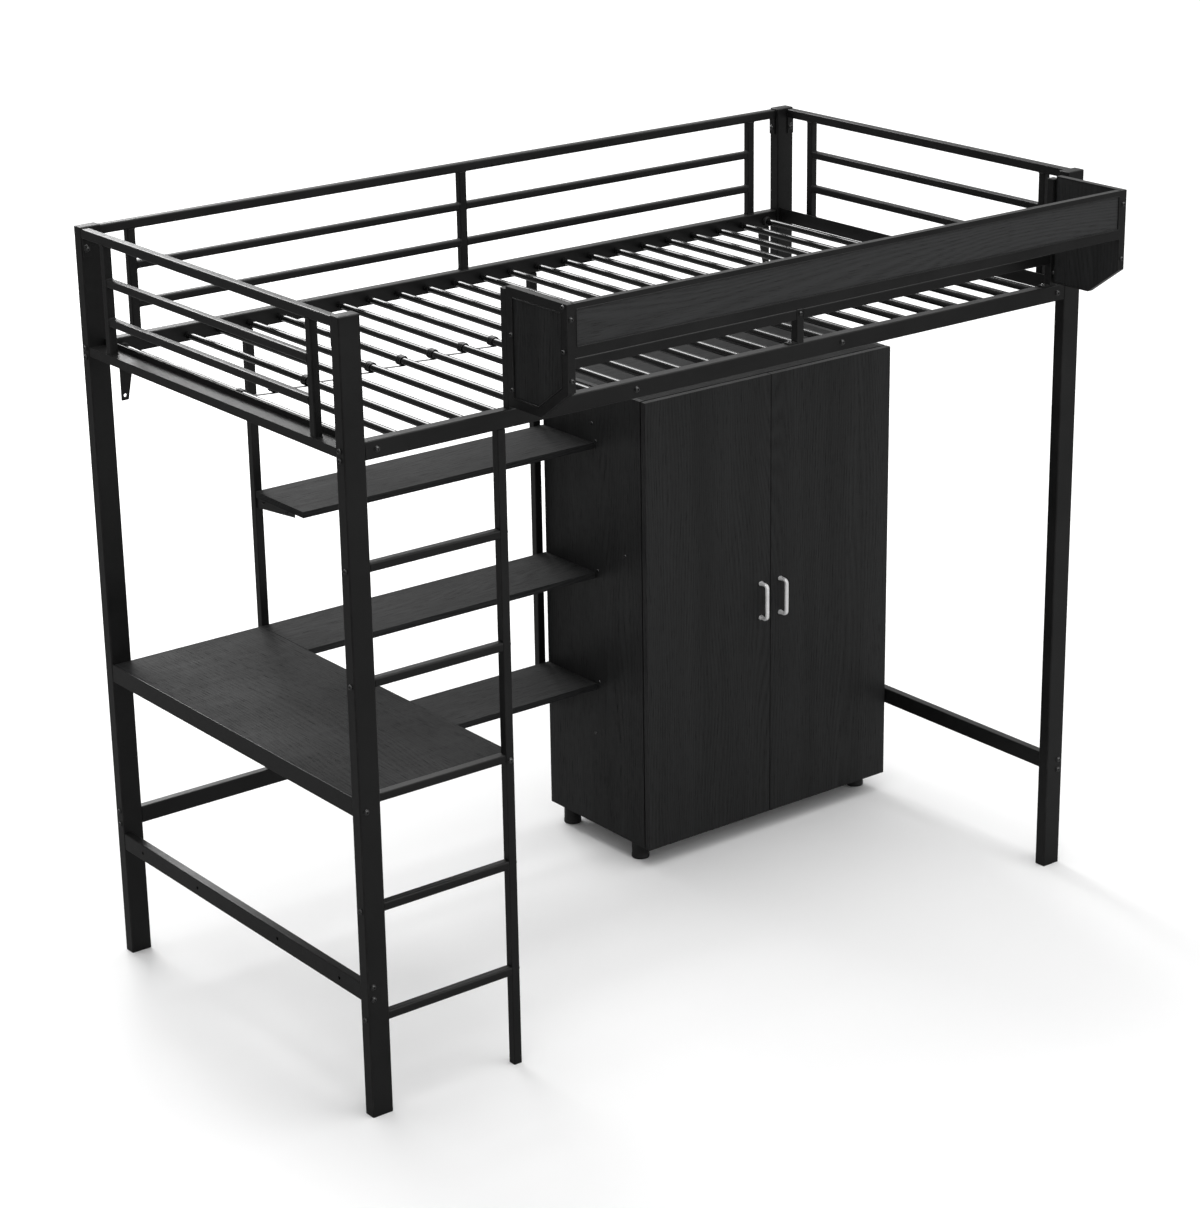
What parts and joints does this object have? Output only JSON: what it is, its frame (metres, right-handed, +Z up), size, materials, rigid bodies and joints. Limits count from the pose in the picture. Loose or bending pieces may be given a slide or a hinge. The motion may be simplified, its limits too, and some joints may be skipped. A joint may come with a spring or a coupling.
{
  "type": "loft bed",
  "caption": "Black steel-tube loft bed with ladder, corner desk and shelves, a free-standing hinged-door wardrobe below and a boxed wood-grain front guard.",
  "frame": {"origin": "on the floor, under the middle of the whole outline, the boxed front guard included", "axes": "+X along the bed towards the wardrobe end, +Y from the ladder side to the wall side, +Z up"},
  "size_m": [2.01, 1.23, 1.71],
  "materials": {
    "black_powder_coat": "fine-textured matt black powder coat on steel tube and sheet",
    "black_wood_grain_board": "black laminate with a pressed open wood grain on particle board",
    "silver_aluminium": "satin silver",
    "zinc_plated_steel": "plain zinc plate",
    "black_plastic": "moulded black plastic"
  },
  "bodies": {
    "frame": {"post_front_left": "black_powder_coat", "post_front_right": "black_powder_coat", "post_rear_left": "black_powder_coat", "post_rear_right": "black_powder_coat", "low_rail_left": "black_powder_coat", "low_rail_right": "black_powder_coat", "low_rail_rear": "black_powder_coat", "ladder_post": "black_powder_coat", "rung_1": "black_powder_coat", "rung_2": "black_powder_coat", "rung_3": "black_powder_coat", "rung_4": "black_powder_coat", "desk_rail_front": "black_powder_coat", "desk_rail_end": "black_powder_coat", "upright_left": "black_powder_coat", "upright_right": "black_powder_coat", "bed_rail_front": "black_powder_coat", "bed_rail_rear": "black_powder_coat", "bed_end_rail_left": "black_powder_coat", "bed_end_rail_right": "black_powder_coat", "slat_base": "black_powder_coat", "rear_bracket_left": "black_powder_coat", "rear_bracket_right": "black_powder_coat", "guard_end_left": "black_powder_coat", "guard_end_right": "black_powder_coat", "guard_rear": "black_powder_coat", "guard_front_frame": "black_powder_coat", "guard_side_frame_left": "black_powder_coat", "guard_side_frame_right": "black_powder_coat", "guard_front_panel_frame": "black_powder_coat", "desk_top": "black_wood_grain_board", "shelf_low": "black_wood_grain_board", "shelf_desk_level": "black_wood_grain_board", "shelf_top": "black_wood_grain_board", "guard_side_board_left": "black_wood_grain_board", "guard_side_board_right": "black_wood_grain_board", "guard_front_board": "black_wood_grain_board", "wardrobe_side_left": "black_wood_grain_board", "wardrobe_side_right": "black_wood_grain_board", "wardrobe_top": "black_wood_grain_board", "wardrobe_bottom": "black_wood_grain_board", "wardrobe_shelf": "black_wood_grain_board", "wardrobe_back": "black_wood_grain_board", "clothes_rail": "silver_aluminium", "hinge_arm_left_1": "zinc_plated_steel", "hinge_arm_left_2": "zinc_plated_steel", "hinge_arm_right_1": "zinc_plated_steel", "hinge_arm_right_2": "zinc_plated_steel", "foot_front_left": "black_plastic", "foot_front_right": "black_plastic", "foot_rear_left": "black_plastic", "foot_rear_right": "black_plastic"},
    "left_door": {"door_left": "black_wood_grain_board", "handle_left": "silver_aluminium", "hinge_cup_left_1": "zinc_plated_steel", "hinge_cup_left_2": "zinc_plated_steel"},
    "right_door": {"door_right": "black_wood_grain_board", "handle_right": "silver_aluminium", "hinge_cup_right_1": "zinc_plated_steel", "hinge_cup_right_2": "zinc_plated_steel"}
  },
  "joints": [
    {"name": "left_door_hinge", "type": "hinge", "parent": "frame", "child": "left_door", "pos_m": [0.215, 0.193, 0.6], "axis": [0, 0, -1], "range_deg": [0, 105]},
    {"name": "right_door_hinge", "type": "hinge", "parent": "frame", "child": "right_door", "pos_m": [0.969, 0.193, 0.6], "axis": [0, 0, 1], "range_deg": [0, 90]}
  ]
}
